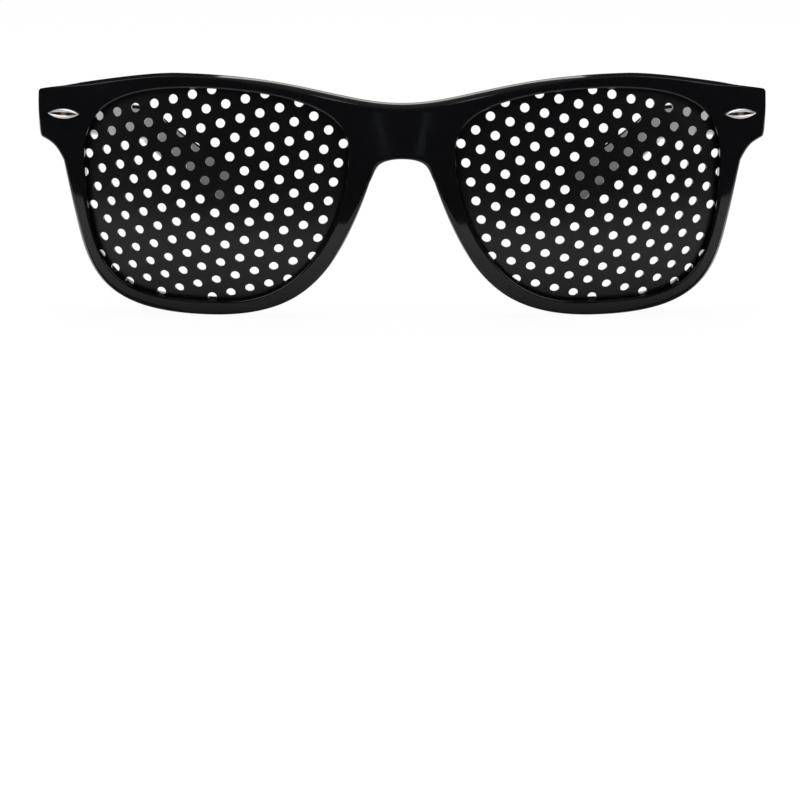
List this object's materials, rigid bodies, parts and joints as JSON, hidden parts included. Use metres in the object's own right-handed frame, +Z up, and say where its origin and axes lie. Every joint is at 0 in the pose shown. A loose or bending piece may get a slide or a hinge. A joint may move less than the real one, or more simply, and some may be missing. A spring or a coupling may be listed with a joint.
{
  "type": "pinhole glasses",
  "caption": "Pinhole glasses: a moulded plastic front holds two perforated sheets in place of lenses, with folding temples on metal hinges.",
  "frame": {"origin": "on the ground, below the middle of the box round the open glasses, which stand on the lower rims and the temple tips", "axes": "+X towards the wearer's left, +Y back from the front to the temple tips, +Z up"},
  "size_m": [0.1444, 0.1382, 0.0483],
  "materials": {
    "frame_black": "polished black moulded plastic",
    "temple_black": "polished black moulded plastic",
    "sheet_black": "satin black plastic sheet",
    "polished_trim": "polished",
    "hinge_metal": "plated and tumbled",
    "screw_metal": "plated"
  },
  "bodies": {
    "front": {"front_frame": "frame_black", "left_pinhole_lens": "sheet_black", "right_pinhole_lens": "sheet_black", "left_trim": "polished_trim", "right_trim": "polished_trim", "left_front_hinge_leaf": "hinge_metal", "right_front_hinge_leaf": "hinge_metal", "left_front_leaf_rivets": "hinge_metal", "right_front_leaf_rivets": "hinge_metal", "left_hinge_screw": "screw_metal", "right_hinge_screw": "screw_metal"},
    "left_temple": {"left_temple": "temple_black", "left_temple_hinge_leaf": "hinge_metal", "left_temple_leaf_rivets": "hinge_metal"},
    "right_temple": {"right_temple": "temple_black", "right_temple_hinge_leaf": "hinge_metal", "right_temple_leaf_rivets": "hinge_metal"}
  },
  "joints": [
    {"name": "left_temple_fold", "type": "hinge", "parent": "front", "child": "left_temple", "pos_m": [0.06655, -0.05426, 0.03996], "axis": [0, 0.1779, 0.984], "range_deg": [0, 80]},
    {"name": "right_temple_fold", "type": "hinge", "parent": "front", "child": "right_temple", "pos_m": [-0.06655, -0.05426, 0.03996], "axis": [0, -0.1779, -0.984], "range_deg": [0, 74]}
  ]
}
